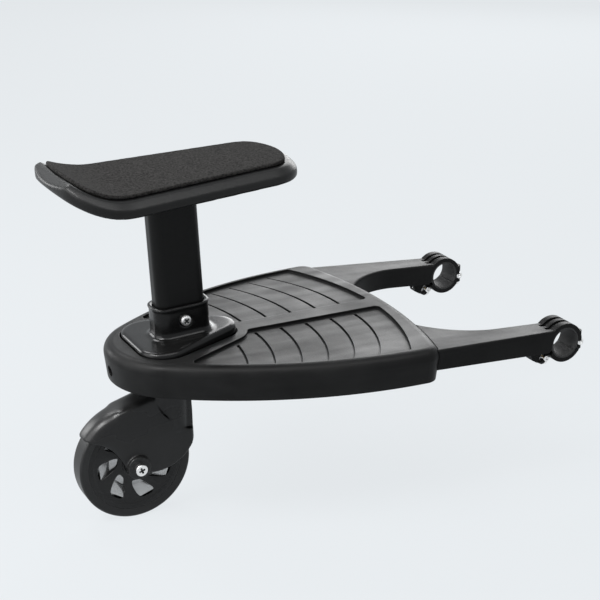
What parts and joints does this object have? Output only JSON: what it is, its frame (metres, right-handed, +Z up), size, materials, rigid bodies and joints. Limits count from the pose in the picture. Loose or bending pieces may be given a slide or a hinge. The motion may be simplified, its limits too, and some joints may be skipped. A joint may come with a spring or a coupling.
{
  "type": "buggy board",
  "caption": "Ride-on buggy board: moulded deck with a saddle seat on a post, swivelling hooded caster and arms with tube clamps that hook onto a stroller.",
  "frame": {"origin": "on the common axis of the two tube clamps, midway between them", "axes": "+X from the board towards the stroller, +Y along the clamped tube towards the board's left, +Z up"},
  "size_m": [0.5727, 0.3118, 0.3958],
  "materials": {
    "deck_plastic": "satin fine-grained black moulding",
    "arm_plastic": "satin fine-grained black moulding",
    "shell_plastic": "satin black moulding",
    "gloss_plastic": "glossy black moulding",
    "hub_plastic": "semi-gloss black moulding",
    "inner_plastic": "plain dark grey moulding",
    "post_coat": "satin black coating",
    "pad_foam": "fine-grained charcoal foam",
    "liner_rubber": "smooth dark grey rubber",
    "tyre_rubber": "smooth black rubber",
    "zinc_steel": "bright zinc plate",
    "bearing_steel": "ground steel",
    "insert_brass": "turned brass"
  },
  "bodies": {
    "board": {"deck": "deck_plastic", "left_arm": "arm_plastic", "right_arm": "arm_plastic", "left_clamp_strap": "arm_plastic", "right_clamp_strap": "arm_plastic", "left_clamp_liners": "liner_rubber", "right_clamp_liners": "liner_rubber", "clamp_bolts": "zinc_steel", "thread_inserts": "insert_brass", "arm_screws": "zinc_steel", "seat_base": "gloss_plastic", "base_screws": "zinc_steel", "seat_post": "post_coat", "post_plug": "inner_plastic", "post_bolt": "zinc_steel", "post_nut": "zinc_steel", "seat_shell": "shell_plastic", "seat_pad": "pad_foam", "seat_screws": "zinc_steel", "upper_bush": "inner_plastic", "lower_bush": "inner_plastic"},
    "caster": {"fork": "gloss_plastic", "kingpin": "zinc_steel", "kingpin_washer": "zinc_steel", "kingpin_nut": "zinc_steel", "thrust_washer": "zinc_steel", "axle_bolt": "zinc_steel", "axle_nut": "zinc_steel", "bearing_sleeve": "bearing_steel", "axle_spacers": "bearing_steel"},
    "wheel": {"wheel_hub": "hub_plastic", "tyre": "tyre_rubber", "wheel_bearings": "bearing_steel"}
  },
  "joints": [
    {"name": "caster_swivel", "type": "hinge", "parent": "board", "child": "caster", "pos_m": [-0.414, 0, -0.0115], "axis": [0, 0, 1], "continuous": true},
    {"name": "wheel_spin", "type": "hinge", "parent": "caster", "child": "wheel", "pos_m": [-0.4605, 0, -0.1015], "axis": [0, 1, 0], "continuous": true}
  ]
}
